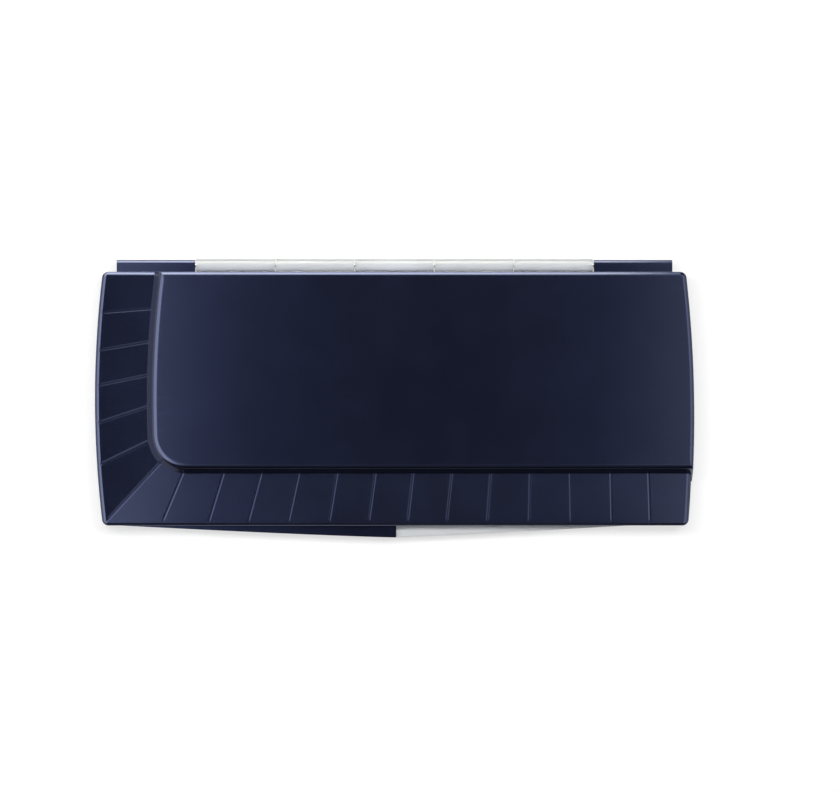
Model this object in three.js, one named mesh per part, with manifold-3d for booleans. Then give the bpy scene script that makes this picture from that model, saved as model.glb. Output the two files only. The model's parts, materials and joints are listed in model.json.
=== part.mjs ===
// A folding watercolour palette, shut: a lid and a base that are mirror images, each an outer shell with a
// white tray nested in it, and a mixing leaf between them on the same hinge. Millimetres, +Z up. The origin
// is under the middle of the shut palette, X runs along its length, and the hinge is at the back, +Y.
//
// Each half is worked out in its own frame, where z = 0 is its rim and z grows towards its outer face.

import * as THREE from "three";
import { mergeVertices } from "three/addons/utils/BufferGeometryUtils.js";
import Module from "manifold-3d";

const wasm = await Module();
wasm.setup();

// Outside of the body
const bodyLength = 302.1; // end to end of the well strip's outline, at the middle of the bowed ends
const bodyDepth = 127.8; // its front wall to its back wall, at the rims
const closedHeight = 25;
const partingGap = 0.3; // between the two rims
const leftBow = 4; // how far the left end swells past its corners
const rightBow = 3.3; // and the right end
const rightSkewShare = 0.015; // of the way to the front, how far the right end moves out
const cornerRadius = 3.5;
const sharpRadius = 0.5; // the least radius of an inner corner
const wallLean = 0.3; // how far a wall leans in over its height
const edgeRound = 2.6; // along the outer edge of the top face
const edgeTurn = THREE.MathUtils.degToRad(36); // from upright, where that round meets the wall at a crease

// Walls
const shellWall = 1.3;
const trayWall = 1.2;
const nestGap = 0.3; // between a shell and the tray in it

// Paint wells and the raised mixing panel
const wellBand = 26.4; // outline to the foot of the panel's wall
const wellStep = 1.55; // how far a well's deep end lies below the panel's flat
const wellFall = 3.8; // how much lower its shallow end lies, at the foot of the panel's wall
const panelTilt = THREE.MathUtils.degToRad(30); // the panel's wall, from upright
const panelRound = 4;
const panelStep = 0.7; // how far the panel's end and back stand out past the well strip's
const panelCorner = 20; // radius of the foot at the corner of the panel

// Dividers between the wells, thirteen along the front and five up the left end, beside the mitre at the
// corner. Places along the front are shares of the body's length from its middle, and up the end of its depth
// from the back.
const frontInnerShares = [
  -0.353, -0.285, -0.222, -0.159, -0.095, -0.031, 0.032, 0.097, 0.162, 0.228, 0.295, 0.363, 0.426,
];
const frontOuterShares = [
  -0.386, -0.309, -0.243, -0.176, -0.108, -0.042, 0.023, 0.088, 0.156, 0.226, 0.296, 0.364, 0.428,
];
const leftInnerShares = [0.142, 0.273, 0.405, 0.53, 0.667];
const leftOuterShares = [0.157, 0.305, 0.444, 0.592, 0.756];
const dividerTopWidth = 1;
const dividerFootWidth = 1.7;
const dividerEndGap = 0.4; // from a divider's inner end to the edge of the mixing area
const dividerEndLean = 1.2; // how far the top of that end leans back
const grooveWidth = 1.5; // the groove that shows outside, over each divider
const grooveDepth = 0.25;

// Hinge: seven knuckles in a row, the lid's at the two ends, the leaf's third and fifth, the base's between
const hingeEndInset = 10.2; // how much shorter than the body the hinge is, at each end
const knuckleCount = 7;
const knuckleGap = 0.5;
const knuckleRadius = 3;
const lidKnuckleRadius = 2.65;
const knuckleRound = 1.8; // along a squared-off knuckle's outer edge
const wallClearance = 0.35; // a knuckle and the wall of the half that it doesn't belong to
const pinRadius = 1;
const boreClearance = 0.15;
const pinEndInset = 1; // how far a pin's end lies in its knuckle
const pinReach = 8; // how far a pin goes into the middle knuckle
const notchClearance = 0.3;

// Finger tabs: the lid's on the left half of the front edge, the base's on the right half
const tabReach = 6; // past the front wall, at the middle
const tabPower = 1.2; // how the tab's edge falls away to its end
const tabShort = 20; // how much sooner the base's tab ends than the lid's
const tabSink = 0.3; // how far its ends lie inside the front wall
const tabThickness = 2;
const tabOverlap = 1.2; // past the middle
const tabRound = 0.6; // at the tab's free corner

// Mixing leaf
const leafClearance = 0.6; // all round, inside the rims
const leafPlate = 1.2;
const leafRidge = 0.7; // height of the ridges on each face
const leafRidgeWidth = 1.6;
const leafCorner = 4;
const leafBow = 2.8; // how far each of its ends swells
const leafGap = 0.25; // leaf to the tops of the dividers
const leafFields = 3; // mixing fields side by side
const fingerNotch = 9; // radius of the notch in the leaf's front edge

const overrun = 1; // how far a cut runs past the face that it opens

// Facets
const cornerSteps = 3;
const bowSteps = 8;
const roundSteps = 3;
const barrelSteps = 16;

// Worked out from the sizes above
const halfHeight = (closedHeight - partingGap) / 2;
const halfDepth = bodyDepth / 2;
const wellDeepHeight = halfHeight - wellStep; // rim to the outer face, at a well's deep end
const wellShallowHeight = wellDeepHeight - wellFall;
const hingeLength = bodyLength - 2 * hingeEndInset;
const hingeMiddle = panelStep / 2; // in X, from the middle of the body
const wallTilt = Math.atan2(wallLean, halfHeight);
const trayInset = shellWall + nestGap;
const cavityInset = trayInset + trayWall;
const backWall = halfDepth + panelStep; // outer face of the back wall at the rim
const axisY = backWall + wallClearance + knuckleRadius;
const axisZ = -partingGap / 2;
const knucklePitch = hingeLength / knuckleCount;
const lidTabLength = bodyLength / 2 - leftBow - cornerRadius; // from the middle
const baseTabLength = lidTabLength - tabShort;
const leafHalf = leafPlate / 2 + leafRidge;
const dividerTop = leafHalf + leafGap - partingGap / 2;
const boreRadius = pinRadius + boreClearance;

// Turns a three.js geometry, or a loft's, into a solid that can be cut and joined.
function solid(geometry) {
  const plain = geometry.clone();
  plain.deleteAttribute("normal");
  plain.deleteAttribute("uv");
  const merged = mergeVertices(plain);
  return new wasm.Manifold(
    new wasm.Mesh({
      numProp: 3,
      vertProperties: new Float32Array(merged.attributes.position.array),
      triVerts: new Uint32Array(merged.index.array),
    }),
  );
}

function signedVolume(points, faces) {
  const cross = new THREE.Vector3();
  return faces.reduce((sum, [a, b, c]) => sum + points[a].dot(cross.crossVectors(points[b], points[c])), 0);
}

// A closed solid through sections of equal length. flat holds one section's points in its own plane, for the
// ends.
function loft(sections, flat) {
  const count = flat.length;
  const points = sections.flat();
  const last = (sections.length - 1) * count;
  const faces = [];
  for (let s = 0; s < sections.length - 1; s++) {
    for (let i = 0; i < count; i++) {
      const a = s * count + i;
      const b = s * count + ((i + 1) % count);
      faces.push([a, b, b + count], [a, b + count, a + count]);
    }
  }
  for (const [a, b, c] of THREE.ShapeUtils.triangulateShape(flat, [])) {
    faces.push([c, b, a], [last + a, last + b, last + c]);
  }
  if (signedVolume(points, faces) < 0) faces.forEach((face) => face.reverse());
  const geometry = new THREE.BufferGeometry().setFromPoints(points);
  geometry.setIndex(faces.flat());
  return solid(geometry);
}

// A loft through level outlines: each level is {z, d}, and outline(d) gives the points there.
function levelLoft(levels, outline) {
  const sections = levels.map(({ z, d }) => outline(d).map((p) => new THREE.Vector3(p.x, p.y, z)));
  return loft(sections, outline(levels[0].d));
}

// A prism along X: the shape is drawn in Y and Z.
function prismX(shape, from, to, curveSegments = barrelSteps) {
  const geometry = new THREE.ExtrudeGeometry(shape, { depth: to - from, bevelEnabled: false, curveSegments });
  const turn = new THREE.Matrix4().makeBasis(
    new THREE.Vector3(0, 1, 0),
    new THREE.Vector3(0, 0, 1),
    new THREE.Vector3(1, 0, 0),
  );
  return solid(geometry.applyMatrix4(turn).translate(from, 0, 0));
}

function boxSolid(x0, x1, y0, y1, z0, z1) {
  const geometry = new THREE.BoxGeometry(x1 - x0, y1 - y0, z1 - z0);
  return solid(geometry.translate((x0 + x1) / 2, (y0 + y1) / 2, (z0 + z1) / 2));
}

function joined(solids) {
  return solids.reduce((sum, next) => sum.add(next));
}

function arc(x, y, radius, from, to) {
  return new THREE.EllipseCurve(x, y, radius, radius, from, to);
}

// The body's outline, moved inwards by inset: a rectangle with bowed ends and rounded corners. Its right end
// leans out a little towards the front.
function bodyOutline(inset) {
  const radius = Math.max(cornerRadius - inset, sharpRadius);
  const centreY = halfDepth - inset - radius;
  const end = (bow) => {
    const tilt = Math.atan((2 * bow * centreY) / halfDepth ** 2);
    const endY = centreY + radius * Math.sin(tilt);
    const swell = (Math.tan(tilt) * endY) / 2;
    const endX = bodyLength / 2 - inset - swell;
    const centreX = endX - radius * Math.cos(tilt);
    const curve = new THREE.QuadraticBezierCurve(
      new THREE.Vector2(endX, -endY),
      new THREE.Vector2(endX + 2 * swell, 0),
      new THREE.Vector2(endX, endY),
    );
    return [
      ...arc(centreX, -centreY, radius, -Math.PI / 2, -tilt).getPoints(cornerSteps),
      ...curve.getPoints(bowSteps).slice(1, -1),
      ...arc(centreX, centreY, radius, tilt, Math.PI / 2).getPoints(cornerSteps),
    ];
  };
  const right = end(rightBow).map((p) => new THREE.Vector2(p.x - rightSkewShare * p.y, p.y));
  const left = end(leftBow).map((p) => new THREE.Vector2(-p.x, -p.y));
  return [...right, ...left];
}

// From the body's middle to its left end at y, inset from the outline.
function halfLengthAt(y, inset) {
  return bodyLength / 2 - leftBow * (y / halfDepth) ** 2 - inset;
}

// And to its right end.
function rightEndAt(y, inset) {
  return bodyLength / 2 - rightBow * (y / halfDepth) ** 2 - rightSkewShare * y - inset;
}

// Levels of a wall that leans at tilt, d = start + (z - startZ) tan(tilt), up to a rounded edge at top. The
// round starts at turn from upright, smooth with the wall where that is its tilt.
function wallLevels({ low, top, start, startZ, tilt, turn = tilt, round, steps }) {
  const wallAt = (z) => start + (z - startZ) * Math.tan(tilt);
  const centreZ = top - round;
  const topD = wallAt(centreZ + round * Math.sin(turn)) + round * Math.cos(turn);
  const levels = [{ z: low, d: wallAt(low) }];
  for (let k = 0; k <= steps; k++) {
    const angle = turn + ((Math.PI / 2 - turn) * k) / steps;
    levels.push({ z: centreZ + round * Math.sin(angle), d: topD - round * Math.cos(angle) });
  }
  return levels;
}

function bodyLevels(height, inset, low) {
  const round = Math.max(edgeRound - inset, sharpRadius);
  const steps = inset === 0 ? roundSteps : 1;
  const top = height - inset;
  return wallLevels({ low, top, start: inset, startZ: 0, tilt: wallTilt, turn: edgeTurn, round, steps });
}

const edgeLevels = bodyLevels(wellDeepHeight, 0, 0).slice(1); // up the rounded edge of the well strip
const edgeBand = edgeLevels.at(-1).d; // outline to the start of the wells' slope
const wellSlope = Math.atan2(wellDeepHeight - wellShallowHeight, wellBand - edgeBand);

// Height of the wells' sloping face at a distance from the outline.
function slopeAt(distance, inset) {
  return wellDeepHeight - (distance - edgeBand) * Math.tan(wellSlope) - inset / Math.cos(wellSlope);
}

// What lies above the wells' slope, along the left end and the front, mitred at the corner. Outside, it
// rounds off both ends of the strip like its long edge.
function aboveWells(inset) {
  const far = wellBand + halfHeight;
  const flat = [
    new THREE.Vector2(-overrun, slopeAt(-overrun, inset)),
    new THREE.Vector2(far, slopeAt(far, inset)),
    new THREE.Vector2(far, halfHeight + overrun),
    new THREE.Vector2(-overrun, halfHeight + overrun),
  ];
  const level = { fall: 0, d: 0 };
  const ends = inset === 0 ? edgeLevels.map(({ z, d }) => ({ fall: wellDeepHeight - z, d })) : [level];
  const past = { fall: ends[0].fall, d: -overrun };
  const stations = [past, ...ends].map((end) => ({
    fall: end.fall,
    place: (d) => [-halfLengthAt(halfDepth - end.d, d), halfDepth - end.d],
  }));
  const back = halfDepth - ends.at(-1).d;
  for (let k = 1; k <= bowSteps; k++) {
    const place = (d) => {
      const y = back + ((d - halfDepth - back) * k) / bowSteps;
      return [-halfLengthAt(y, d), y];
    };
    stations.push({ fall: 0, place });
  }
  for (const end of [...ends.reverse(), past]) {
    stations.push({ fall: end.fall, place: (d) => [rightEndAt(d - halfDepth, end.d), d - halfDepth] });
  }
  return loft(
    stations.map(({ fall, place }) => flat.map((p) => new THREE.Vector3(...place(p.x), p.y - fall))),
    flat,
  );
}

// The raised panel's outline at a distance from the body's outline; it runs past the right end and the back.
function panelOutline(distance) {
  const radius = panelCorner - (distance - wellBand);
  const front = distance - halfDepth;
  const centreY = front + radius;
  const centreX = -halfLengthAt(centreY, distance) + radius;
  const back = halfDepth + overrun;
  const points = [
    new THREE.Vector2(bodyLength / 2 + overrun, front),
    new THREE.Vector2(bodyLength / 2 + overrun, back),
  ];
  for (let k = 0; k < bowSteps; k++) {
    const y = back + ((centreY - back) * k) / bowSteps;
    points.push(new THREE.Vector2(-halfLengthAt(y, distance), y));
  }
  points.push(...arc(centreX, centreY, radius, Math.PI, (3 * Math.PI) / 2).getPoints(2 * cornerSteps));
  return points;
}

function panelForm(inset, low) {
  const round = Math.max(panelRound - inset, sharpRadius);
  const start = wellBand + inset / Math.cos(panelTilt);
  const steps = inset === 0 ? roundSteps : 1;
  const top = halfHeight - inset;
  const levels = wallLevels({ low, top, start, startZ: wellShallowHeight, tilt: panelTilt, round, steps });
  const body = levelLoft(bodyLevels(halfHeight, inset, low), bodyOutline);
  return levelLoft(levels, panelOutline).intersect(body.translate([panelStep, panelStep, 0]));
}

// The form of one half with every face moved inwards by inset, solid from low to its outer face.
function halfForm(inset, low) {
  return levelLoft(bodyLevels(wellDeepHeight, inset, low), bodyOutline)
    .subtract(aboveWells(inset))
    .add(panelForm(inset, low));
}

// The dividers' lines in plan, each from its inner end at the foot of the panel to its outer end.
function dividerLines() {
  const innerY = wellBand - halfDepth;
  const lines = frontInnerShares.map((share, i) => [
    new THREE.Vector2(share * bodyLength, innerY),
    new THREE.Vector2(frontOuterShares[i] * bodyLength, edgeBand - halfDepth),
  ]);
  leftInnerShares.forEach((share, i) => {
    const y = halfDepth - share * bodyDepth;
    const outerY = halfDepth - leftOuterShares[i] * bodyDepth;
    lines.push([
      new THREE.Vector2(-halfLengthAt(y, wellBand), y),
      new THREE.Vector2(-halfLengthAt(outerY, edgeBand), outerY),
    ]);
  });
  const cornerY = edgeBand - halfDepth;
  const outer = new THREE.Vector2(-halfLengthAt(cornerY, edgeBand), cornerY);
  const footCorner = new THREE.Vector2(-halfLengthAt(innerY, wellBand), innerY);
  const inner = footCorner.addScalar(panelCorner * (1 - Math.SQRT1_2));
  lines.push([inner, outer]);
  return lines;
}

// A bar along a divider's line, run on at each end. Its section is given across and up from the line, and
// leans(p) says how far along the line each of its points lies at the inner end.
function barAlong([inner, outer], section, innerRun, outerRun, leans = () => 0) {
  const direction = outer.clone().sub(inner).normalize();
  const along = new THREE.Vector3(direction.x, direction.y, 0);
  const across = new THREE.Vector3(-direction.y, direction.x, 0);
  const place = (end, run, p) =>
    new THREE.Vector3(end.x, end.y, p.y).addScaledVector(across, p.x).addScaledVector(along, run);
  const sections = [
    section(0).map((p) => place(inner, leans(p) - innerRun, p)),
    section(1).map((p) => place(outer, outerRun, p)),
  ];
  return loft(sections, section(0));
}

// The grooves outside, over the dividers: round-bottomed, down the wells' slope and over the outer edge.
function grooves() {
  const half = grooveWidth / 2;
  const radius = (half ** 2 + grooveDepth ** 2) / (2 * grooveDepth);
  const section = (distance) => {
    const z = slopeAt(distance, 0) - grooveDepth + radius;
    return arc(0, z, radius, 0, 2 * Math.PI).getPoints(barrelSteps).slice(1);
  };
  return joined(
    dividerLines().map((line) => {
      const reach = line[0].distanceTo(line[1]);
      const rise = (edgeBand - wellBand) / reach;
      const distances = [wellBand - overrun * rise, edgeBand + edgeRound * rise];
      return barAlong(line, (k) => section(distances[k]), overrun, edgeRound);
    }),
  );
}

// The dividers inside a tray. Each ends just short of the mixing area, and its end leans back.
function dividers() {
  const top = dividerTopWidth / 2;
  const foot = dividerFootWidth / 2;
  const section = () => [
    new THREE.Vector2(-top, dividerTop),
    new THREE.Vector2(top, dividerTop),
    new THREE.Vector2(foot, wellDeepHeight),
    new THREE.Vector2(-foot, wellDeepHeight),
  ];
  const run = cavityInset / Math.cos(panelTilt) - dividerEndGap;
  const leans = (p) => (p.y === dividerTop ? dividerEndLean : 0);
  return joined(dividerLines().map((line) => barAlong(line, section, run, edgeBand, leans)));
}

// The span in X of knuckle n, counted from 0 at the left; grown makes it wider at both ends.
function knuckleSpan(n, grown = 0) {
  const left = hingeMiddle - hingeLength / 2 + n * knucklePitch;
  return [left + knuckleGap / 2 - grown, left + knucklePitch - knuckleGap / 2 + grown];
}

// A knuckle's section: a barrel, squared off on its half's outer side, with a web to the wall at wallY.
function knuckleShape(wallY, radius) {
  const back = axisY + radius;
  const top = axisZ + radius;
  const shape = new THREE.Shape();
  shape.moveTo(wallY, top);
  shape.lineTo(wallY, 0);
  shape.lineTo(axisY - radius, 0);
  shape.lineTo(axisY - radius, axisZ);
  shape.absarc(axisY, axisZ, radius, Math.PI, 2 * Math.PI, false);
  shape.lineTo(back, top - knuckleRound);
  shape.absarc(back - knuckleRound, top - knuckleRound, knuckleRound, 0, Math.PI / 2, false);
  shape.lineTo(wallY, top);
  return shape;
}

function boreShape() {
  return new THREE.Shape().absarc(axisY, axisZ, boreRadius, 0, 2 * Math.PI, false);
}

const pinInner = knucklePitch / 2 - pinReach; // from the middle of the hinge to a pin's inner end

// The bores for the two pins, blind in the middle knuckle.
function bores() {
  const end = hingeLength / 2 + overrun;
  const inner = pinInner - boreClearance;
  const left = prismX(boreShape(), hingeMiddle - end, hingeMiddle - inner);
  return left.add(prismX(boreShape(), hingeMiddle + inner, hingeMiddle + end));
}

function knuckles(numbers, wallY, radius) {
  return joined(numbers.map((n) => prismX(knuckleShape(wallY, radius), ...knuckleSpan(n)))).subtract(bores());
}

// Openings in the back wall for another piece's knuckles, from the rim up to height.
function backNotches(numbers, height) {
  const inner = backWall - cavityInset - wallLean - overrun;
  return joined(
    numbers.map((n) => {
      const [left, right] = knuckleSpan(n, notchClearance);
      return boxSolid(left, right, inner, backWall + overrun, -overrun, height);
    }),
  );
}

const lidKnuckles = [0, 6];
const baseKnuckles = [1, 3, 5];
const leafKnuckles = [2, 4];
const armNotchHeight = leafHalf - partingGap / 2 + notchClearance;

// A finger tab in plan, from the middle out to the left; wallInset says how far it reaches into the body.
function tabOutline(wallInset, far) {
  const reach = tabReach + tabSink;
  const front = (x) => tabSink - halfDepth - reach * (1 - (Math.abs(x) / far) ** tabPower);
  const points = [];
  for (let k = 0; k <= bowSteps; k++) {
    const x = -far * (1 - k / bowSteps);
    points.push(new THREE.Vector2(x, front(x)));
  }
  points.push(new THREE.Vector2(tabOverlap - tabRound, -halfDepth - tabReach));
  points.push(new THREE.Vector2(tabOverlap, -halfDepth - tabReach + tabRound));
  points.push(new THREE.Vector2(tabOverlap, wallInset - halfDepth));
  points.push(new THREE.Vector2(-far, wallInset - halfDepth));
  return points;
}

function tab(wallInset, length) {
  const levels = [
    { z: 0, d: wallInset },
    { z: tabThickness, d: wallInset },
  ];
  return levelLoft(levels, (d) => tabOutline(d, length));
}

function mirroredX(form) {
  return form.mirror([1, 0, 0]);
}

// The slot in the base's shell that its tray's tab comes out of.
function tabSlot() {
  const height = tabThickness + notchClearance;
  return boxSolid(
    -tabOverlap - notchClearance,
    baseTabLength + notchClearance,
    -halfDepth - overrun,
    -halfDepth + trayInset,
    -overrun,
    height,
  );
}

function shellForm() {
  return halfForm(0, 0).subtract(halfForm(shellWall, -overrun)).subtract(grooves());
}

function trayForm() {
  const cavity = halfForm(cavityInset, -overrun).subtract(dividers());
  return halfForm(trayInset, 0).subtract(cavity).subtract(backNotches(leafKnuckles, armNotchHeight));
}

function lidShell() {
  const wallY = backWall - shellWall / 2;
  return shellForm()
    .subtract(backNotches(leafKnuckles, armNotchHeight))
    .add(knuckles(lidKnuckles, wallY, lidKnuckleRadius))
    .add(tab(shellWall / 2, lidTabLength));
}

function baseShell() {
  return shellForm()
    .subtract(backNotches(leafKnuckles, armNotchHeight))
    .subtract(backNotches(baseKnuckles, knuckleRadius + notchClearance))
    .subtract(tabSlot());
}

function baseTray() {
  const wallY = backWall - trayInset - trayWall / 2;
  return trayForm()
    .add(knuckles(baseKnuckles, wallY, knuckleRadius))
    .add(mirroredX(tab(trayInset + trayWall / 2, baseTabLength)));
}

// The leaf: a plate with ridges round its edge and between its mixing fields, on both faces.
function leafOutline(inset) {
  const d = cavityInset + leafClearance + inset;
  const radius = Math.max(leafCorner - inset, sharpRadius);
  const y = halfDepth - d;
  const x = bodyLength / 2 - leftBow - d;
  const corner = (sx, sy, from) =>
    arc(sx * (x - radius), sy * (y - radius), radius, from, from + Math.PI / 2).getPoints(cornerSteps);
  const end = (s) =>
    new THREE.QuadraticBezierCurve(
      new THREE.Vector2(s * x, -s * (y - radius)),
      new THREE.Vector2(s * (x + 2 * leafBow), 0),
      new THREE.Vector2(s * x, s * (y - radius)),
    )
      .getPoints(bowSteps)
      .slice(1, -1);
  return [
    ...corner(1, -1, -Math.PI / 2),
    ...end(1),
    ...corner(1, 1, 0),
    ...corner(-1, 1, Math.PI / 2),
    ...end(-1),
    ...corner(-1, -1, Math.PI),
  ];
}

function mixingLeaf() {
  const slab = (inset, z0, z1) =>
    levelLoft(
      [
        { z: z0, d: inset },
        { z: z1, d: inset },
      ],
      leafOutline,
    );
  const plate = leafPlate / 2;
  const frontY = -(halfDepth - cavityInset - leafClearance);
  const fieldPitch = (bodyLength - 2 * (cavityInset + leafClearance)) / leafFields;
  const ridgeHalf = leafRidgeWidth / 2;
  const ridges = [];
  for (let n = 1; n < leafFields; n++) {
    const x = fieldPitch * (n - leafFields / 2);
    ridges.push(boxSolid(x - ridgeHalf, x + ridgeHalf, frontY, -frontY, -leafHalf, leafHalf));
  }
  const hollow = (z0, z1) => slab(leafRidgeWidth, z0, z1).subtract(joined(ridges));
  const arm = (n) => {
    const [left, right] = knuckleSpan(n);
    return boxSolid(left, right, -frontY - leafRidgeWidth, axisY, -plate, plate);
  };
  const barrel = (n) =>
    prismX(new THREE.Shape().absarc(axisY, 0, knuckleRadius, 0, 2 * Math.PI, false), ...knuckleSpan(n));
  const notch = new THREE.CylinderGeometry(fingerNotch, fingerNotch, 4 * leafHalf, barrelSteps);
  return slab(0, -leafHalf, leafHalf)
    .subtract(hollow(plate, leafHalf + overrun))
    .subtract(hollow(-leafHalf - overrun, -plate))
    .add(joined(leafKnuckles.flatMap((n) => [arm(n), barrel(n)])))
    .subtract(bores().translate([0, 0, -axisZ]))
    .subtract(solid(notch.rotateX(Math.PI / 2).translate(0, frontY, 0)));
}

function pin(side) {
  const outer = hingeLength / 2 - pinEndInset;
  const shape = new THREE.Shape().absarc(axisY, 0, pinRadius, 0, 2 * Math.PI, false);
  const ends = [side * outer, side * pinInner].sort((a, b) => a - b);
  return prismX(shape, hingeMiddle + ends[0], hingeMiddle + ends[1]);
}

// Colours and finishes
const navy = new THREE.MeshStandardMaterial({ color: 0x1c2038, roughness: 0.38, metalness: 0 });
const white = new THREE.MeshStandardMaterial({ color: 0xe6ecf0, roughness: 0.25, metalness: 0 });
const steel = new THREE.MeshStandardMaterial({ color: 0xb4b6ba, roughness: 0.3, metalness: 1 });

function mesh(name, form, material) {
  const { vertProperties, triVerts } = form.getMesh();
  const geometry = new THREE.BufferGeometry();
  geometry.setAttribute("position", new THREE.BufferAttribute(vertProperties, 3));
  geometry.setIndex(new THREE.BufferAttribute(triVerts, 1));
  const made = new THREE.Mesh(geometry, material);
  made.name = name;
  return made;
}

const palette = new THREE.Group();

const lid = new THREE.Group();
lid.position.z = (closedHeight + partingGap) / 2;
lid.add(mesh("lid_shell", lidShell(), navy), mesh("lid_tray", trayForm(), white));

const base = new THREE.Group();
base.position.z = (closedHeight - partingGap) / 2;
const flipped = (form) => form.mirror([0, 0, 1]);
base.add(mesh("base_shell", flipped(baseShell()), navy), mesh("base_tray", flipped(baseTray()), white));

const hinge = new THREE.Group();
hinge.position.z = closedHeight / 2;
hinge.add(
  mesh("mixing_leaf", mixingLeaf(), white),
  mesh("hinge_pin_left", pin(-1), steel),
  mesh("hinge_pin_right", pin(1), steel),
);

palette.add(lid, base, hinge);
palette.position.x = -panelStep / 2;
palette.position.y = (halfDepth + tabReach - axisY - knuckleRadius) / 2;

export default palette;
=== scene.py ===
import json
import math
from itertools import pairwise

import bmesh
import bpy
from mathutils import Matrix, Vector


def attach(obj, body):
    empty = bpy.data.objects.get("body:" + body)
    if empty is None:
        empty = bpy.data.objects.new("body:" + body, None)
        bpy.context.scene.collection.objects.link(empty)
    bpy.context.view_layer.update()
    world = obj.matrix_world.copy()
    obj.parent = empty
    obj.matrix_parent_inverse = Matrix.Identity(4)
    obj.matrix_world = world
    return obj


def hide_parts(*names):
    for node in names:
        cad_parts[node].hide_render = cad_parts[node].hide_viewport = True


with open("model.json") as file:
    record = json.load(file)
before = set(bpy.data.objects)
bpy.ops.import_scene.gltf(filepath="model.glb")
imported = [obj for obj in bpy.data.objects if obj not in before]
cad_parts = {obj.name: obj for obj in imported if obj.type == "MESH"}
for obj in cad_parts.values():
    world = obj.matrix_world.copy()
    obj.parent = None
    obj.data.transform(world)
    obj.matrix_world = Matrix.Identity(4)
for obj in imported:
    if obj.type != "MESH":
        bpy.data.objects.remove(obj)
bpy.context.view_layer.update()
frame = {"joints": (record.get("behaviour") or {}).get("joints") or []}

mm = 0.001
quarter_turn = math.pi / 2
scene = bpy.context.scene

# The palette's own sizes. Each half is made in its own frame, where z is 0 at its rim and grows towards its
# outer face.
body_length = 302.1 * mm
body_depth = 127.8 * mm
closed_height = 25 * mm
parting_gap = 0.3 * mm
left_bow = 4 * mm
right_bow = 3.3 * mm
right_skew_share = 0.015
corner_radius = 3.5 * mm
least_radius = 0.7 * mm
wall_lean = 0.3 * mm
edge_round = 2.6 * mm
edge_turn = math.radians(36)

shell_wall = 1.3 * mm
tray_wall = 1.2 * mm
nest_gap = 0.3 * mm

well_band = 26.4 * mm
well_step = 1.55 * mm
well_fall = 3.8 * mm
panel_tilt = math.radians(30)
panel_round = 4 * mm
panel_step = 0.7 * mm
panel_corner = 20 * mm

# Places of the dividers, along the front as shares of the length and up the left end as shares of the depth.
front_inner_shares = (
    -0.353, -0.285, -0.222, -0.159, -0.095, -0.031, 0.032, 0.097, 0.162, 0.228, 0.295, 0.363, 0.426
)
front_outer_shares = (
    -0.386, -0.309, -0.243, -0.176, -0.108, -0.042, 0.023, 0.088, 0.156, 0.226, 0.296, 0.364, 0.428
)
left_inner_shares = (0.142, 0.273, 0.405, 0.53, 0.667)
left_outer_shares = (0.157, 0.305, 0.444, 0.592, 0.756)
divider_top_width = 1 * mm
divider_foot_width = 1.7 * mm
divider_fillet = 1.1 * mm
divider_end_gap = 0.4 * mm
divider_end_lean = 1.2 * mm
groove_width = 2.4 * mm
groove_depth = 0.07 * mm
left_groove_depth = 0.15 * mm
groove_lip = 0.03 * mm

hinge_end_inset = 10.2 * mm
knuckle_count = 7
knuckle_gap = 0.5 * mm
knuckle_radius = 3 * mm
lid_knuckle_radius = 2.65 * mm
knuckle_round = 1.8 * mm
wall_clearance = 0.35 * mm
pin_radius = 1 * mm
bore_clearance = 0.15 * mm
pin_end_inset = 1 * mm
pin_reach = 8 * mm
notch_clearance = 0.3 * mm

tab_reach = 6 * mm
tab_sink = 0.3 * mm
tab_power = 1.2
tab_short = 20 * mm
tab_thickness = 2 * mm
tab_overlap = 1.2 * mm
tab_round = 0.6 * mm

leaf_clearance = 0.6 * mm
leaf_plate = 1.2 * mm
leaf_ridge = 0.7 * mm
leaf_ridge_width = 1.6 * mm
leaf_corner = 4 * mm
leaf_bow = 2.8 * mm
leaf_gap = 0.25 * mm
leaf_fields = 3
finger_notch = 9 * mm

# How far a cutter runs past what it cuts, and how finely round stretches are divided.
overrun = 1 * mm
corner_steps = 8
bow_steps = 32
round_steps = 8
barrel_steps = 32
lip_steps = 4
groove_steps = 16
groove_stations = 12
weld_distance = 0.001 * mm

# What follows from those sizes.
half_height = (closed_height - parting_gap) / 2
half_depth = body_depth / 2
well_deep = half_height - well_step
well_shallow = well_deep - well_fall
hinge_length = body_length - 2 * hinge_end_inset
hinge_middle = panel_step / 2
wall_tilt = math.atan2(wall_lean, half_height)
tray_inset = shell_wall + nest_gap
cavity_inset = tray_inset + tray_wall
back_wall = half_depth + panel_step
axis_y = back_wall + wall_clearance + knuckle_radius
axis_z = -parting_gap / 2
knuckle_pitch = hinge_length / knuckle_count
lid_tab_length = body_length / 2 - left_bow - corner_radius
base_tab_length = lid_tab_length - tab_short
leaf_half = leaf_plate / 2 + leaf_ridge
divider_top = leaf_half + leaf_gap - parting_gap / 2
divider_lean_height = 2 * divider_top
bore_radius = pin_radius + bore_clearance
pin_inner = knuckle_pitch / 2 - pin_reach
bow_shares = [2 * k / bow_steps - 1 for k in range(1, bow_steps)]

lid_knuckles = (0, 6)
base_knuckles = (1, 3, 5)
leaf_knuckles = (2, 4)
arm_notch_height = leaf_half - parting_gap / 2 + notch_clearance

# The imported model's hinge says where the halves' own frames lie.
hinge_place = Vector(next(j for j in frame["joints"] if j["name"] == "lid_hinge")["pos_m"])
shift = Vector((-panel_step / 2, hinge_place.y - axis_y, hinge_place.z))
half_places = {
    "lid": Matrix.Translation(shift + Vector((0, 0, parting_gap / 2))),
    "base": Matrix.Translation(shift - Vector((0, 0, parting_gap / 2))) @ Matrix.Diagonal((1, 1, -1, 1)),
    "leaf": Matrix.Translation(shift),
}


# Making meshes


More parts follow.
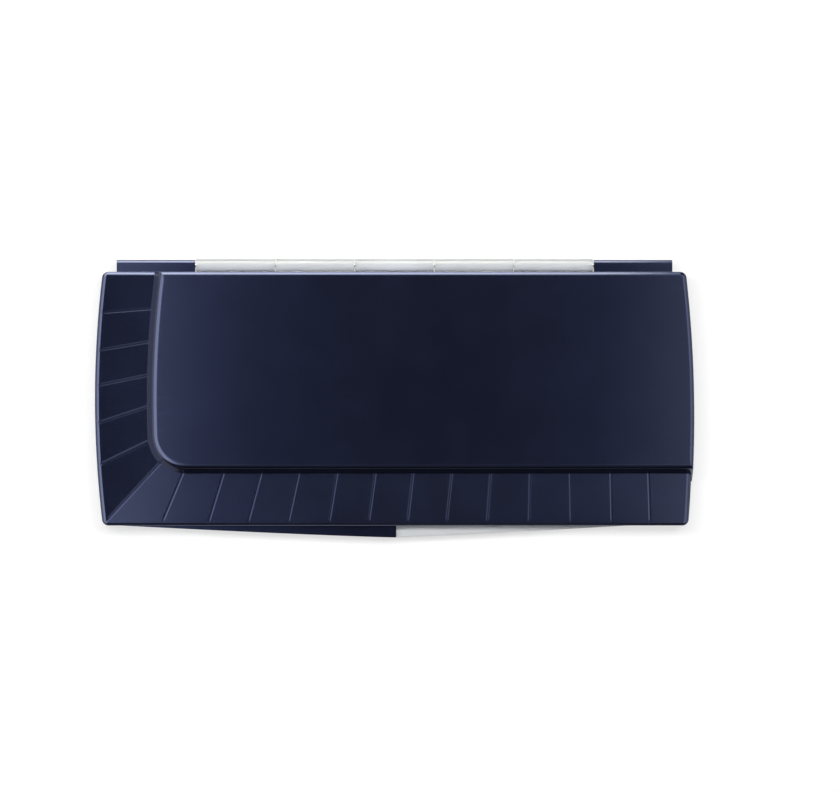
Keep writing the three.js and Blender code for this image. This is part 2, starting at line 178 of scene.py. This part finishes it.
def piece_of(name, bm):
    """A new object from bm, which is used up."""
    bmesh.ops.recalc_face_normals(bm, faces=bm.faces)
    mesh = bpy.data.meshes.new(name)
    bm.to_mesh(mesh)
    bm.free()
    piece = bpy.data.objects.new(name, mesh)
    scene.collection.objects.link(piece)
    return piece


def add_loft(bm, sections):
    """A closed body through loops of as many points each."""
    rings = []
    for section in sections:
        verts = [bm.verts.new(point) for point in section]
        rings.append([bm.edges.new(pair) for pair in pairwise(verts + verts[:1])])
    for lower, upper in pairwise(rings):
        bmesh.ops.bridge_loops(bm, edges=lower + upper)
    for ring in (rings[0], rings[-1]):
        bmesh.ops.edgeloop_fill(bm, edges=ring)


def loft(name, sections):
    bm = bmesh.new()
    add_loft(bm, sections)
    return piece_of(name, bm)


def level_loft(name, levels, outline):
    """A loft through level outlines: levels holds pairs of a height and what outline takes."""
    return loft(name, [[Vector((x, y, z)) for x, y in outline(d)] for z, d in levels])


def add_bar(bm, profile, left, right):
    """A prism along X from points in Y and Z."""
    add_loft(bm, [[Vector((x, y, z)) for y, z in profile] for x in (left, right)])


def add_box(bm, low, high):
    made = bmesh.ops.create_cube(bm, size=1)
    size = high - low
    bmesh.ops.scale(bm, vec=size, verts=made["verts"])
    bmesh.ops.translate(bm, vec=low + size / 2, verts=made["verts"])


def combine(piece, other, operation):
    """Cuts other from piece, or joins it to piece, and uses other up."""
    modifier = piece.modifiers.new(operation.lower(), "BOOLEAN")
    modifier.object = other
    modifier.operation = operation
    modifier.solver = "EXACT"
    before = piece.data
    depsgraph = bpy.context.evaluated_depsgraph_get()
    piece.data = bpy.data.meshes.new_from_object(piece.evaluated_get(depsgraph))
    piece.modifiers.clear()
    bpy.data.meshes.remove(before)
    bpy.data.meshes.remove(other.data)
    return piece


def cut(piece, other):
    return combine(piece, other, "DIFFERENCE")


def join(piece, other):
    return combine(piece, other, "UNION")


def keep_inside(piece, other):
    return combine(piece, other, "INTERSECT")


def arc(x, y, radius, start, end, steps):
    angles = [start + (end - start) * k / steps for k in range(steps + 1)]
    return [(x + radius * math.cos(angle), y + radius * math.sin(angle)) for angle in angles]


def circle(x, y, radius, steps=barrel_steps):
    return arc(x, y, radius, 0, 2 * math.pi, steps)[:-1]


# Outlines in plan


def half_length_at(y, inset):
    return body_length / 2 - left_bow * (y / half_depth) ** 2 - inset


def right_end_at(y, inset):
    return body_length / 2 - right_bow * (y / half_depth) ** 2 - right_skew_share * y - inset


def body_outline(inset):
    """A rectangle with bowed ends and round corners, moved in by inset and stretched to the back wall."""
    radius = max(corner_radius - inset, least_radius)
    centre_y = half_depth - inset - radius

    def end(bow):
        tilt = math.atan(2 * bow * centre_y / half_depth**2)
        end_y = centre_y + radius * math.sin(tilt)
        swell = math.tan(tilt) * end_y / 2
        end_x = body_length / 2 - inset - swell
        centre_x = end_x - radius * math.cos(tilt)
        return (
            arc(centre_x, -centre_y, radius, -quarter_turn, -tilt, corner_steps)
            + [(end_x + swell * (1 - share**2), end_y * share) for share in bow_shares]
            + arc(centre_x, centre_y, radius, tilt, quarter_turn, corner_steps)
        )

    right = [(x - right_skew_share * y, y) for x, y in end(right_bow)]
    plain = right + [(-x, -y) for x, y in end(left_bow)]
    return [(x, y + panel_step * (y + half_depth) / body_depth) for x, y in plain]


def panel_outline(distance):
    """The raised panel at a distance from the body's outline; it runs past the right end and the back."""
    radius = panel_corner - (distance - well_band)
    front = distance - half_depth
    centre_y = front + radius
    centre_x = -half_length_at(centre_y, distance) + radius
    back = half_depth + panel_step + overrun
    right = body_length / 2 + panel_step + overrun
    ys = [back + (centre_y - back) * k / bow_steps for k in range(bow_steps)]
    left = [(-half_length_at(y, distance), y) for y in ys]
    corner = arc(centre_x, centre_y, radius, math.pi, math.pi + quarter_turn, bow_steps)
    return [(right, front), (right, back)] + left + corner


def tab_outline(wall_inset, far):
    """A left tab in plan, from its far end to just past the middle."""
    xs = [-far * (1 - k / bow_steps) for k in range(bow_steps + 1)]
    reach = tab_reach + tab_sink
    edge = [(x, tab_sink - half_depth - reach * (1 - (abs(x) / far) ** tab_power)) for x in xs]
    tip = -half_depth - tab_reach
    corner = arc(tab_overlap - tab_round, tip + tab_round, tab_round, -quarter_turn, 0, corner_steps)
    return edge + corner + [(tab_overlap, wall_inset - half_depth), (-far, wall_inset - half_depth)]


def leaf_outline(inset):
    """A rectangle with bowed ends and round corners, which fits the trays' hollow."""
    d = cavity_inset + leaf_clearance + inset
    radius = max(leaf_corner - inset, least_radius)
    y = half_depth - d
    x = body_length / 2 - left_bow - d

    def corner(side_x, side_y, start):
        end_angle = start + quarter_turn
        return arc(side_x * (x - radius), side_y * (y - radius), radius, start, end_angle, corner_steps)

    def end(side):
        return [(side * (x + leaf_bow * (1 - share**2)), side * (y - radius) * share) for share in bow_shares]

    return (
        corner(1, -1, -quarter_turn)
        + end(1)
        + corner(1, 1, 0)
        + corner(-1, 1, quarter_turn)
        + end(-1)
        + corner(-1, -1, math.pi)
    )


# The form of one half


def wall_levels(low, top, start, start_z, tilt, turn, rounding):
    """Heights and insets up a leaning wall and over its rounded edge, which starts at turn from upright."""

    def wall_at(z):
        return start + (z - start_z) * math.tan(tilt)

    centre_z = top - rounding
    top_d = wall_at(centre_z + rounding * math.sin(turn)) + rounding * math.cos(turn)
    levels = [(low, wall_at(low))]
    for k in range(round_steps + 1):
        angle = turn + (quarter_turn - turn) * k / round_steps
        levels.append((centre_z + rounding * math.sin(angle), top_d - rounding * math.cos(angle)))
    return levels


def body_levels(height, inset, low):
    rounding = max(edge_round - inset, least_radius)
    return wall_levels(low, height - inset, inset, 0, wall_tilt, edge_turn, rounding)


edge_levels = body_levels(well_deep, 0, 0)[1:]
edge_band = edge_levels[-1][1]
well_slope = math.atan2(well_deep - well_shallow, well_band - edge_band)


def slope_at(distance, inset):
    return well_deep - (distance - edge_band) * math.tan(well_slope) - inset / math.cos(well_slope)


def above_wells(inset):
    """What lies above the wells' slope, along the left end and the front, mitred at the corner.

    Outside, it rounds off both ends of the strip like its long edge.
    """
    far = well_band + half_height
    profile = [
        (-overrun, slope_at(-overrun, inset)),
        (far, slope_at(far, inset)),
        (far, half_height + overrun),
        (-overrun, half_height + overrun),
    ]
    ends = [(well_deep - z, d) for z, d in edge_levels] if inset == 0 else [(0, 0)]
    past = (ends[0][0], -overrun)
    sections = []
    for fall, end in [past] + ends:
        y = back_wall - end
        sections.append([Vector((-half_length_at(y, d), y, z - fall)) for d, z in profile])
    back = back_wall - ends[-1][1]
    for k in range(1, bow_steps + 1):
        section = []
        for d, z in profile:
            y = back + (d - half_depth - back) * k / bow_steps
            section.append(Vector((-half_length_at(y, d), y, z)))
        sections.append(section)
    for fall, end in ends[::-1] + [past]:
        front = [(d - half_depth, z - fall) for d, z in profile]
        sections.append([Vector((right_end_at(y, end), y, z)) for y, z in front])
    return loft("above_wells", sections)


def panel_form(inset, low):
    rounding = max(panel_round - inset, least_radius)
    start = well_band + inset / math.cos(panel_tilt)
    levels = wall_levels(low, half_height - inset, start, well_shallow, panel_tilt, panel_tilt, rounding)
    body = level_loft("panel_body", body_levels(half_height, inset, low), body_outline)
    body.data.transform(Matrix.Translation((panel_step, 0, 0)))
    return keep_inside(level_loft("panel", levels, panel_outline), body)


def half_form(name, inset, low):
    """One half with every face moved inwards by inset, solid from low to its outer face."""
    body = level_loft(name, body_levels(well_deep, inset, low), body_outline)
    return join(cut(body, above_wells(inset)), panel_form(inset, low))


def divider_lines():
    """Each divider's inner end, at the foot of the panel, and its outer end."""
    inner_y = well_band - half_depth
    outer_y = edge_band - half_depth
    lines = [
        (Vector((inner * body_length, inner_y)), Vector((outer * body_length, outer_y)))
        for inner, outer in zip(front_inner_shares, front_outer_shares)
    ]
    for inner, outer in zip(left_inner_shares, left_outer_shares):
        y = half_depth - inner * body_depth
        end_y = half_depth - outer * body_depth
        lines.append(
            (Vector((-half_length_at(y, well_band), y)), Vector((-half_length_at(end_y, edge_band), end_y)))
        )
    reach = panel_corner * (1 - math.sqrt(0.5))
    inner = Vector((reach - half_length_at(inner_y, well_band), reach + inner_y))
    lines.append((inner, Vector((-half_length_at(outer_y, edge_band), outer_y))))
    return lines


def slope_above(point):
    """The height of the wells' slope outside at a point in plan, on either side of the mitre."""
    distance = min(point.y + half_depth, point.x + half_length_at(point.y, 0))
    return slope_at(distance, 0)


def grooves():
    """Soft hollows over the dividers, from the foot of the panel down the slope to the outer edge."""
    half = groove_width / 2

    def profile(depth):
        hollow = []
        for k in range(groove_steps + 1):
            share = 2 * k / groove_steps - 1
            fall = (1 + math.cos(math.pi * share)) / 2
            hollow.append((half * share, groove_lip - (depth + groove_lip) * fall))
        return [(-half, overrun)] + hollow + [(half, overrun)]

    profiles = [profile(groove_depth)] * len(front_inner_shares)
    profiles += [profile(left_groove_depth)] * len(left_inner_shares) + [profile(groove_depth)]
    bm = bmesh.new()
    for (inner, outer), section in zip(divider_lines(), profiles):
        along = (outer - inner).normalized()
        across = Vector((-along.y, along.x))
        run = outer - inner + along * edge_band / 2
        loops = []
        for k in range(groove_stations + 1):
            places = [(inner + run * k / groove_stations + across * side, z) for side, z in section]
            loops.append([Vector((*point, slope_above(point) + z)) for point, z in places])
        add_loft(bm, loops)
    return piece_of("grooves", bm)


def divider_loop(end, along, section, run, lean=0):
    """A section given across and up, set run past an end of a divider's line; lean moves its crown."""
    across = Vector((-along.y, along.x))
    loop = []
    for side, z in section:
        reach = run + (lean if z < divider_lean_height else 0)
        loop.append(Vector((*(end + across * side + along * reach), z)))
    return loop


def add_dividers(piece):
    """The walls between the wells: rounded on top, flared at the foot, and leaning back at the inner end."""
    top = divider_top_width / 2
    foot = divider_foot_width / 2
    run = cavity_inset / math.cos(panel_tilt) - divider_end_gap

    def section(distance):
        floor = slope_at(distance, cavity_inset)
        crown = arc(0, divider_top + top, top, math.pi, 2 * math.pi, corner_steps)
        flare_z = floor - divider_fillet
        right = arc(foot + divider_fillet, flare_z, divider_fillet, math.pi, quarter_turn, lip_steps)
        left = arc(-foot - divider_fillet, flare_z, divider_fillet, quarter_turn, 0, lip_steps)
        deep = floor + tray_wall / 2
        wide = foot + divider_fillet
        return crown + right + [(wide, deep), (-wide, deep)] + left

    bm = bmesh.new()
    for inner, outer in divider_lines():
        along = (outer - inner).normalized()
        rise = (edge_band - well_band) / (outer - inner).length
        inner_section = section(well_band - run * rise)
        outer_section = section(edge_band + edge_band * rise)
        inner_loop = divider_loop(inner, along, inner_section, -run, divider_end_lean)
        add_loft(bm, [inner_loop, divider_loop(outer, along, outer_section, edge_band)])
    walls = piece_of("dividers", bm)
    return join(piece, keep_inside(walls, half_form("inside", tray_inset + tray_wall / 2, 0)))


# The hinge


def knuckle_span(n, grown=0.0):
    left = hinge_middle - hinge_length / 2 + n * knuckle_pitch
    return left + knuckle_gap / 2 - grown, left + knuckle_pitch - knuckle_gap / 2 + grown


def knuckle_profile(wall_y, radius):
    """A barrel, squared off on its half's outer side, with a web to the wall."""
    back = axis_y + radius
    top = axis_z + radius
    barrel = arc(axis_y, axis_z, radius, math.pi, 2 * math.pi, barrel_steps)
    shoulder = arc(back - knuckle_round, top - knuckle_round, knuckle_round, 0, quarter_turn, corner_steps)
    return [(wall_y, top), (wall_y, 0), (axis_y - radius, 0)] + barrel + shoulder


def bores(z=axis_z):
    """Cutters for the pins' holes, in from both ends of the hinge."""
    hole = circle(axis_y, z, bore_radius)
    end = hinge_length / 2 + overrun
    inner = pin_inner - bore_clearance
    bm = bmesh.new()
    add_bar(bm, hole, hinge_middle - end, hinge_middle - inner)
    add_bar(bm, hole, hinge_middle + inner, hinge_middle + end)
    return piece_of("bores", bm)


def knuckles(numbers, wall_y, radius):
    bm = bmesh.new()
    for n in numbers:
        add_bar(bm, knuckle_profile(wall_y, radius), *knuckle_span(n))
    return cut(piece_of("knuckles", bm), bores())


def back_notches(numbers, height):
    """Openings in the back wall for another piece's knuckles, from the rim up to height."""
    inner = back_wall - cavity_inset - wall_lean - overrun
    bm = bmesh.new()
    for n in numbers:
        left, right = knuckle_span(n, notch_clearance)
        add_box(bm, Vector((left, inner, -overrun)), Vector((right, back_wall + overrun, height)))
    return piece_of("back_notches", bm)


# The tabs


def tab(wall_inset, length):
    return level_loft("tab", [(0, wall_inset), (tab_thickness, wall_inset)], lambda d: tab_outline(d, length))


def mirrored_x(piece):
    bm = bmesh.new()
    bm.from_mesh(piece.data)
    bmesh.ops.scale(bm, vec=(-1, 1, 1), verts=bm.verts)
    bmesh.ops.recalc_face_normals(bm, faces=bm.faces)
    bm.to_mesh(piece.data)
    bm.free()
    return piece


def tab_slot():
    """The opening in the base's front wall for the tab of its tray."""
    left = -tab_overlap - notch_clearance
    right = base_tab_length + notch_clearance
    low = Vector((left, -half_depth - overrun, -overrun))
    high = Vector((right, -half_depth + tray_inset, tab_thickness + notch_clearance))
    bm = bmesh.new()
    add_box(bm, low, high)
    return piece_of("tab_slot", bm)


# The mouldings


def shell_form(name):
    return cut(cut(half_form(name, 0, 0), half_form("inside", shell_wall, -overrun)), grooves())


def tray_form(name):
    tray = cut(half_form(name, tray_inset, 0), half_form("inside", cavity_inset, -overrun))
    return cut(add_dividers(tray), back_notches(leaf_knuckles, arm_notch_height))


def lid_shell():
    shell = cut(shell_form("lid_case"), back_notches(leaf_knuckles, arm_notch_height))
    shell = join(shell, knuckles(lid_knuckles, back_wall - shell_wall / 2, lid_knuckle_radius))
    return join(shell, tab(shell_wall / 2, lid_tab_length))


def base_shell():
    shell = cut(shell_form("base_case"), back_notches(leaf_knuckles, arm_notch_height))
    return cut(cut(shell, back_notches(base_knuckles, knuckle_radius + notch_clearance)), tab_slot())


def base_tray():
    wall_y = back_wall - tray_inset - tray_wall / 2
    tray = join(tray_form("base_well_tray"), knuckles(base_knuckles, wall_y, knuckle_radius))
    return join(tray, mirrored_x(tab(tray_inset + tray_wall / 2, base_tab_length)))


def leaf():
    """A plate with ridges round its edge and between its mixing fields, on both faces."""
    plate = leaf_plate / 2
    ridge_half = leaf_ridge_width / 2
    tall = 2 * leaf_half
    front_y = -(half_depth - cavity_inset - leaf_clearance)
    field_pitch = (body_length - 2 * (cavity_inset + leaf_clearance)) / leaf_fields
    made = level_loft("mixing_plate", [(-leaf_half, 0), (leaf_half, 0)], leaf_outline)
    for low, high in ((plate, leaf_half + overrun), (-leaf_half - overrun, -plate)):
        hollow = level_loft("hollow", [(low, leaf_ridge_width), (high, leaf_ridge_width)], leaf_outline)
        bm = bmesh.new()
        for n in range(1, leaf_fields):
            x = field_pitch * (n - leaf_fields / 2)
            add_box(bm, Vector((x - ridge_half, front_y, -tall)), Vector((x + ridge_half, -front_y, tall)))
        made = cut(made, cut(hollow, piece_of("ridges", bm)))
    bm = bmesh.new()
    barrel = circle(axis_y, 0, knuckle_radius, 2 * barrel_steps)
    for n in leaf_knuckles:
        add_bar(bm, barrel, *knuckle_span(n))
    barrels = piece_of("barrels", bm)
    bm = bmesh.new()
    for n in leaf_knuckles:
        left, right = knuckle_span(n)
        add_box(bm, Vector((left, -front_y - leaf_ridge_width, -plate)), Vector((right, axis_y, plate)))
    made = join(made, cut(join(piece_of("arms", bm), barrels), bores(0)))
    bm = bmesh.new()
    disc = bmesh.ops.create_cone(
        bm,
        cap_ends=True,
        segments=2 * barrel_steps,
        radius1=finger_notch,
        radius2=finger_notch,
        depth=2 * tall,
    )
    bmesh.ops.translate(bm, vec=(0, front_y, 0), verts=disc["verts"])
    return cut(made, piece_of("finger_notch", bm))


def hinge_pin(side):
    ends = sorted(hinge_middle + side * x for x in (pin_inner, hinge_length / 2 - pin_end_inset))
    bm = bmesh.new()
    add_bar(bm, circle(axis_y, 0, pin_radius), *ends)
    return piece_of("pin_rod_left" if side < 0 else "pin_rod_right", bm)


# Finishes

# The stretches of a noise's values that are spread over a range and over two tones.
noise_low = 0.3
noise_high = 0.7
tone_low = 0.35
tone_high = 0.65

soft_edge = 0.2 * mm
soft_edge_samples = 6


def new_material(name):
    """A material with its nodes, links, shader and the place on its piece."""
    material = bpy.data.materials.new(name)
    material.use_nodes = True
    nodes = material.node_tree.nodes
    shader = nodes["Principled BSDF"]
    place = nodes.new("ShaderNodeTexCoord").outputs["Object"]
    return material, nodes, material.node_tree.links, shader, place


def noise(nodes, links, place, scale, detail, stretch=None):
    """Noise on the piece's own place; scale is in waves a metre."""
    if stretch:
        mapping = nodes.new("ShaderNodeMapping")
        mapping.inputs["Scale"].default_value = stretch
        links.new(place, mapping.inputs["Vector"])
        place = mapping.outputs["Vector"]
    texture = nodes.new("ShaderNodeTexNoise")
    texture.inputs["Scale"].default_value = scale
    texture.inputs["Detail"].default_value = detail
    links.new(place, texture.inputs["Vector"])
    return texture.outputs["Fac"]


def mapped(nodes, links, value, source, target):
    """value moved from the range source to the range target, and held inside it."""
    ramp = nodes.new("ShaderNodeMapRange")
    ramp.inputs["From Min"].default_value, ramp.inputs["From Max"].default_value = source
    ramp.inputs["To Min"].default_value, ramp.inputs["To Max"].default_value = target
    links.new(value, ramp.inputs["Value"])
    return ramp.outputs["Result"]


def between(nodes, links, factor, low, high):
    """factor's middle range turned into a value between low and high."""
    return mapped(nodes, links, factor, (noise_low, noise_high), (low, high))


def two_tones(nodes, links, factor, dark, light):
    """factor turned into a colour between dark and light."""
    ramp = nodes.new("ShaderNodeValToRGB")
    for stop, position, tone in zip(ramp.color_ramp.elements, (tone_low, tone_high), (dark, light)):
        stop.position = position
        stop.color = (*tone, 1)
    links.new(factor, ramp.inputs["Fac"])
    return ramp.outputs["Color"]


def grain(nodes, links, shader, height, depth, edge=None):
    """A fine grain, depth in metres, over edges softened by edge."""
    bump = nodes.new("ShaderNodeBump")
    bump.inputs["Distance"].default_value = depth
    bump.inputs["Strength"].default_value = 1
    links.new(height, bump.inputs["Height"])
    if edge:
        bevel = nodes.new("ShaderNodeBevel")
        bevel.samples = soft_edge_samples
        bevel.inputs["Radius"].default_value = edge
        links.new(bevel.outputs["Normal"], bump.inputs["Normal"])
    links.new(bump.outputs["Normal"], shader.inputs["Normal"])


def navy_plastic():
    """Satin navy moulding: a blue sheen under a thin clear skin, fine sparks and faint handling marks."""
    material, nodes, links, shader, place = new_material("navy_satin_plastic")
    cloud = noise(nodes, links, place, scale=14, detail=3)
    tones = two_tones(nodes, links, cloud, dark=(0.0018, 0.0023, 0.0057), light=(0.0024, 0.0029, 0.0069))
    links.new(tones, shader.inputs["Base Color"])
    marks = noise(nodes, links, place, scale=55, detail=5)
    links.new(between(nodes, links, marks, low=0.22, high=0.25), shader.inputs["Roughness"])
    sparks = noise(nodes, links, place, scale=2600, detail=2)
    grain(nodes, links, shader, sparks, depth=0.004 * mm, edge=soft_edge)
    shader.inputs["IOR"].default_value = 1.5
    shader.inputs["Specular Tint"].default_value = (0.33, 0.43, 1, 1)
    shader.inputs["Specular IOR Level"].default_value = 0.95
    shader.inputs["Coat Weight"].default_value = 0.65
    shader.inputs["Coat Roughness"].default_value = 0.13
    shader.inputs["Coat IOR"].default_value = 1.5
    return material


def white_plastic():
    """Glossy white moulding with a slight cool cast, which lets some light through."""
    material, nodes, links, shader, place = new_material("white_gloss_plastic")
    cloud = noise(nodes, links, place, scale=20, detail=3)
    tones = two_tones(nodes, links, cloud, dark=(0.84, 0.875, 0.905), light=(0.845, 0.88, 0.91))
    links.new(tones, shader.inputs["Base Color"])
    marks = noise(nodes, links, place, scale=70, detail=5)
    links.new(between(nodes, links, marks, low=0.28, high=0.3), shader.inputs["Roughness"])
    waves = noise(nodes, links, place, scale=900, detail=2)
    grain(nodes, links, shader, waves, depth=0.003 * mm, edge=soft_edge)
    shader.inputs["IOR"].default_value = 1.5
    shader.inputs["Subsurface Weight"].default_value = 1
    shader.inputs["Subsurface Radius"].default_value = (1, 1, 1)
    shader.inputs["Subsurface Scale"].default_value = 3.5 * mm
    return material


def pin_steel():
    """Drawn wire, with fine lines along it."""
    material, nodes, links, shader, place = new_material("drawn_steel")
    lines = noise(nodes, links, place, scale=900, detail=4, stretch=(0.02, 1, 1))
    tones = two_tones(nodes, links, lines, dark=(0.5, 0.5, 0.51), light=(0.62, 0.62, 0.63))
    links.new(tones, shader.inputs["Base Color"])
    links.new(between(nodes, links, lines, low=0.24, high=0.36), shader.inputs["Roughness"])
    grain(nodes, links, shader, lines, depth=0.005 * mm)
    shader.inputs["Metallic"].default_value = 1
    return material


# Faces that meet at more than this keep a sharp edge.
smooth_angle = math.radians(24)


def finish_piece(piece, half, body, node, material):
    """Puts a moulding in its place, smooths its round faces and lets it ride on its body."""
    bm = bmesh.new()
    bm.from_mesh(piece.data)
    bmesh.ops.transform(bm, matrix=half_places[half], verts=bm.verts)
    if half_places[half].determinant() < 0:
        bmesh.ops.reverse_faces(bm, faces=bm.faces)
    bmesh.ops.remove_doubles(bm, verts=bm.verts, dist=weld_distance)
    bm.to_mesh(piece.data)
    bm.free()
    piece.data.shade_smooth()
    piece.data.set_sharp_from_angle(angle=smooth_angle)
    weighted = piece.modifiers.new("flat_faces_flat", "WEIGHTED_NORMAL")
    weighted.keep_sharp = True
    piece.data.materials.clear()
    piece.data.materials.append(material)
    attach(piece, body)
    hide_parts(node)


navy = navy_plastic()
white = white_plastic()
steel = pin_steel()

finish_piece(lid_shell(), "lid", "lid", "lid_shell", navy)
finish_piece(tray_form("lid_well_tray"), "lid", "lid", "lid_tray", white)
finish_piece(base_shell(), "base", "base", "base_shell", navy)
finish_piece(base_tray(), "base", "base", "base_tray", white)
finish_piece(leaf(), "leaf", "leaf", "mixing_leaf", white)
finish_piece(hinge_pin(-1), "leaf", "base", "hinge_pin_left", steel)
finish_piece(hinge_pin(1), "leaf", "base", "hinge_pin_right", steel)


# The studio

# The picture's size and the palette's middle in it, in pixels, and how large a pixel is on the lid's top.
image_width = 837
image_height = 792
palette_middle_x = 394.5
palette_middle_y = 398.3
pixel_size = 0.504 * mm
camera_height = 2.5
camera_reach = 10
lens = 50 * mm

floor_tone = 0.5
floor_roughness = 0.9
floor_glow = 0.62
floor_size = 12
floor_gap = 0.2 * mm
air_glow = 0.022
horizon_low = 0.02
horizon_high = 0.06

# Tones of the lamps, as colours.
white_light = (1, 1, 1)
cream_light = (1, 0.98, 0.92)
warm_light = (1, 0.98, 0.84)
blue_light = (0.88, 0.95, 1.1)
pale_blue_light = (0.93, 0.97, 1.08)


def added(nodes, links, first, second):
    """The sum of two outputs, at most one."""
    total = nodes.new("ShaderNodeMath")
    total.operation = "ADD"
    total.use_clamp = True
    links.new(first, total.inputs[0])
    links.new(second, total.inputs[1])
    return total.outputs["Value"]


def multiplied(nodes, links, first, second):
    product = nodes.new("ShaderNodeMath")
    product.operation = "MULTIPLY"
    links.new(first, product.inputs[0])
    links.new(second, product.inputs[1])
    return product.outputs["Value"]


def floor_material():
    """Pale floor, plain white to the camera and in reflections, which still takes the palette's shadow.

    It is clear from below, where it would hide the palette's underside.
    """
    material, nodes, links, shader, _ = new_material("studio_floor")
    shader.inputs["Base Color"].default_value = (floor_tone, floor_tone, floor_tone, 1)
    shader.inputs["Roughness"].default_value = floor_roughness
    path = nodes.new("ShaderNodeLightPath").outputs
    shown = added(nodes, links, path["Is Glossy Ray"], path["Is Transmission Ray"])
    shown = added(nodes, links, path["Is Camera Ray"], shown)
    shader.inputs["Emission Color"].default_value = (1, 1, 1, 1)
    links.new(mapped(nodes, links, shown, (0, 1), (0, floor_glow)), shader.inputs["Emission Strength"])
    sides = nodes.new("ShaderNodeMixShader")
    links.new(nodes.new("ShaderNodeNewGeometry").outputs["Backfacing"], sides.inputs["Fac"])
    links.new(shader.outputs["BSDF"], sides.inputs[1])
    links.new(nodes.new("ShaderNodeBsdfTransparent").outputs["BSDF"], sides.inputs[2])
    links.new(sides.outputs["Shader"], nodes["Material Output"].inputs["Surface"])
    return material


def add_floor():
    """A plane just under the palette, so that its underside doesn't lie in it."""
    lowered = Matrix.Translation((0, 0, -floor_gap))
    bm = bmesh.new()
    bmesh.ops.create_grid(bm, x_segments=1, y_segments=1, size=floor_size / 2, matrix=lowered)
    floor = piece_of("studio_floor", bm)
    floor.data.materials.append(floor_material())


def add_world():
    """White to the camera, and in reflections up to the horizon; a dim studio above."""
    world = bpy.data.worlds.new("studio_air")
    world.use_nodes = True
    nodes = world.node_tree.nodes
    links = world.node_tree.links
    background = nodes["Background"]
    background.inputs["Color"].default_value = (1, 1, 1, 1)
    axes = nodes.new("ShaderNodeSeparateXYZ")
    links.new(nodes.new("ShaderNodeTexCoord").outputs["Generated"], axes.inputs["Vector"])
    below = mapped(nodes, links, axes.outputs["Z"], (horizon_high, horizon_low), (0, 1))
    path = nodes.new("ShaderNodeLightPath").outputs
    mirrored = added(nodes, links, path["Is Glossy Ray"], path["Is Transmission Ray"])
    mirrored = multiplied(nodes, links, mirrored, below)
    shown = added(nodes, links, path["Is Camera Ray"], mirrored)
    links.new(mapped(nodes, links, shown, (0, 1), (air_glow, 1)), background.inputs["Strength"])
    scene.world = world


def add_softbox(name, place, target, width, height, glow, tone=white_light):
    """A softbox as bright as glow, where 1 is white."""
    lamp = bpy.data.lights.new(name, "AREA")
    lamp.shape = "RECTANGLE"
    lamp.size = width
    lamp.size_y = height
    lamp.energy = glow * math.pi * width * height
    lamp.color = tone
    box = bpy.data.objects.new(name, lamp)
    box.location = place
    box.rotation_euler = (Vector(target) - Vector(place)).to_track_quat("-Z", "Y").to_euler()
    scene.collection.objects.link(box)
    return box


def add_card(*settings):
    """A bright card that shows in the plastic's gloss without lighting it."""
    add_softbox(*settings).visible_diffuse = False


def add_lights():
    """Soft light from above, low softboxes at the sides, and cards round the palette for its gloss."""
    over = (0, 0, 0)
    beside = (0, -0.1, 0)
    back = (-0.09, 0, 0)
    for settings in (
        ("softbox_above_back", (0, 0.24, 1.5), over, 1.2, 0.3, 15),
        ("softbox_above_front", (0, -0.45, 1.3), over, 1.2, 0.5, 0.8),
    ):
        add_softbox(*settings).visible_glossy = False
    add_softbox("softbox_low_left", (-0.77, -0.1, 0.21), beside, 1.1, 0.34, 1.0)
    add_softbox("softbox_low_right", (0.77, -0.1, 0.21), beside, 1.1, 0.34, 0.7)
    add_card("card_left", (-0.51, -0.1, 0.55), beside, 1.1, 0.52, 3.1, cream_light)
    add_card("card_right", (0.51, -0.1, 0.55), beside, 1.1, 0.52, 1.5)
    add_card("card_above_left", (-0.375, -0.15, 1), (-0.375, -0.15, 0), 0.42, 1.1, 1.2, blue_light)
    add_card("card_above_right", (0.4, -0.15, 1), (0.4, -0.15, 0), 0.42, 1.1, 0.75, pale_blue_light)
    add_card("card_back", (-0.09, 0.62, 0.3), back, 0.5, 0.5, 9, warm_light)
    add_card("card_back_high", (-0.09, 0.62, 0.78), back, 0.5, 0.35, 4, warm_light)
    add_card("card_back_left", (-0.5, 0.5, 0.36), (-0.5, 0, 0), 0.4, 0.5, 6, warm_light)
    add_card("card_above_back", (0.2, 0.5, 1), (0.2, 0, 0), 0.3, 0.3, 0.7)
    add_card("card_front", (0, -0.55, 0.75), over, 1.2, 0.6, 0.12)


def add_camera():
    """A camera straight above the palette, shifted so that it lies where the photograph shows it."""
    lens_data = bpy.data.cameras.new("camera")
    lens_data.sensor_width = image_width * pixel_size * lens / camera_height / mm
    lens_data.lens = lens / mm
    lens_data.clip_end = camera_reach
    lens_data.shift_x = (image_width / 2 - palette_middle_x) / image_width
    lens_data.shift_y = (palette_middle_y - image_height / 2) / image_width
    camera = bpy.data.objects.new("camera", lens_data)
    camera.location = (0, 0, camera_height + closed_height)
    scene.collection.objects.link(camera)
    scene.camera = camera


add_floor()
add_world()
add_lights()
add_camera()

scene.view_settings.view_transform = "Standard"
